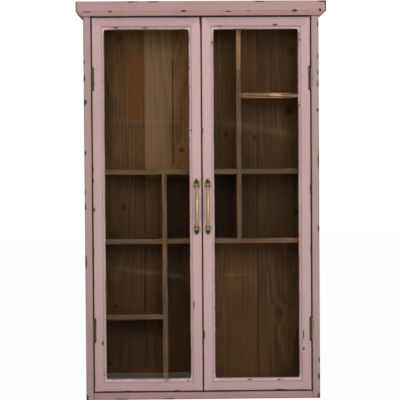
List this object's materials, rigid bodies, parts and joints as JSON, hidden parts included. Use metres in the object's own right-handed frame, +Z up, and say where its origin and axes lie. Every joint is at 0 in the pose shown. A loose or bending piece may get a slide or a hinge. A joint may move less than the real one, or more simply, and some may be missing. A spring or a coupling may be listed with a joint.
{
  "type": "display cabinet",
  "caption": "Shallow wall display cabinet with a cornice, two glazed doors on butt hinges, bow handles and an interior divided by shelves and uprights.",
  "frame": {"origin": "middle of the underside of the carcass, in width and in depth", "axes": "+X to the right, +Y to the back, so the doors face -Y, +Z up"},
  "size_m": [0.5, 0.1246, 0.8],
  "materials": {
    "painted_case": "old dusty pink paint, matt, rubbed through to brown wood at the edges",
    "painted_door": "old dusty pink paint, matt, rubbed at the edges and beads",
    "stained_shelf": "brown stained softwood, matt",
    "stained_back": "dark brown stained softwood boards with knots, matt",
    "bare_wood": "bare beech",
    "glass": "clear sheet glass",
    "antique_brass": "antiqued cast brass, dark in its recesses",
    "hinge_metal": "dull brown pressed metal",
    "screw_steel": "zinc plated steel, dulled",
    "magnet": "plain dark magnet"
  },
  "bodies": {
    "carcass": {"back_board_1": "stained_back", "back_board_2": "stained_back", "back_board_3": "stained_back", "back_board_4": "stained_back", "bottom_board": "painted_case", "carcass_dowels": "bare_wood", "catch_cup_left": "antique_brass", "catch_cup_right": "antique_brass", "catch_magnet_left": "magnet", "catch_magnet_right": "magnet", "cornice_front": "painted_case", "cornice_left": "painted_case", "cornice_right": "painted_case", "frame_hinge_leaves_left": "hinge_metal", "frame_hinge_leaves_right": "hinge_metal", "frame_hinge_screws": "screw_steel", "hanger_left": "screw_steel", "hanger_right": "screw_steel", "hanger_screws": "screw_steel", "head_rail": "painted_case", "hinge_pins_left": "hinge_metal", "hinge_pins_right": "hinge_metal", "shelf_lower": "stained_shelf", "shelf_short_left": "stained_shelf", "shelf_short_right": "stained_shelf", "shelf_upper": "stained_shelf", "side_left": "painted_case", "side_right": "painted_case", "stop_batten": "stained_back", "top_board": "painted_case", "upright_left": "stained_shelf", "upright_right": "stained_shelf"},
    "door_left": {"door_left_bottom_rail": "painted_door", "door_left_glass": "glass", "door_left_glazing_strips": "painted_door", "door_left_handle": "antique_brass", "door_left_handle_screws": "screw_steel", "door_left_hinge_leaves": "hinge_metal", "door_left_hinge_screws": "screw_steel", "door_left_hinge_stile": "painted_door", "door_left_meeting_stile": "painted_door", "door_left_mitre_keys": "bare_wood", "door_left_strike": "screw_steel", "door_left_top_rail": "painted_door"},
    "door_right": {"door_right_bottom_rail": "painted_door", "door_right_glass": "glass", "door_right_glazing_strips": "painted_door", "door_right_handle": "antique_brass", "door_right_handle_screws": "screw_steel", "door_right_hinge_leaves": "hinge_metal", "door_right_hinge_screws": "screw_steel", "door_right_hinge_stile": "painted_door", "door_right_meeting_stile": "painted_door", "door_right_mitre_keys": "bare_wood", "door_right_strike": "screw_steel", "door_right_top_rail": "painted_door"}
  },
  "joints": [
    {"name": "left_door_hinge", "type": "hinge", "parent": "carcass", "child": "door_left", "pos_m": [-0.218, -0.0485, 0.393], "axis": [0, 0, -1], "range_deg": [0, 120]},
    {"name": "right_door_hinge", "type": "hinge", "parent": "carcass", "child": "door_right", "pos_m": [0.218, -0.0485, 0.393], "axis": [0, 0, 1], "range_deg": [0, 120]}
  ]
}
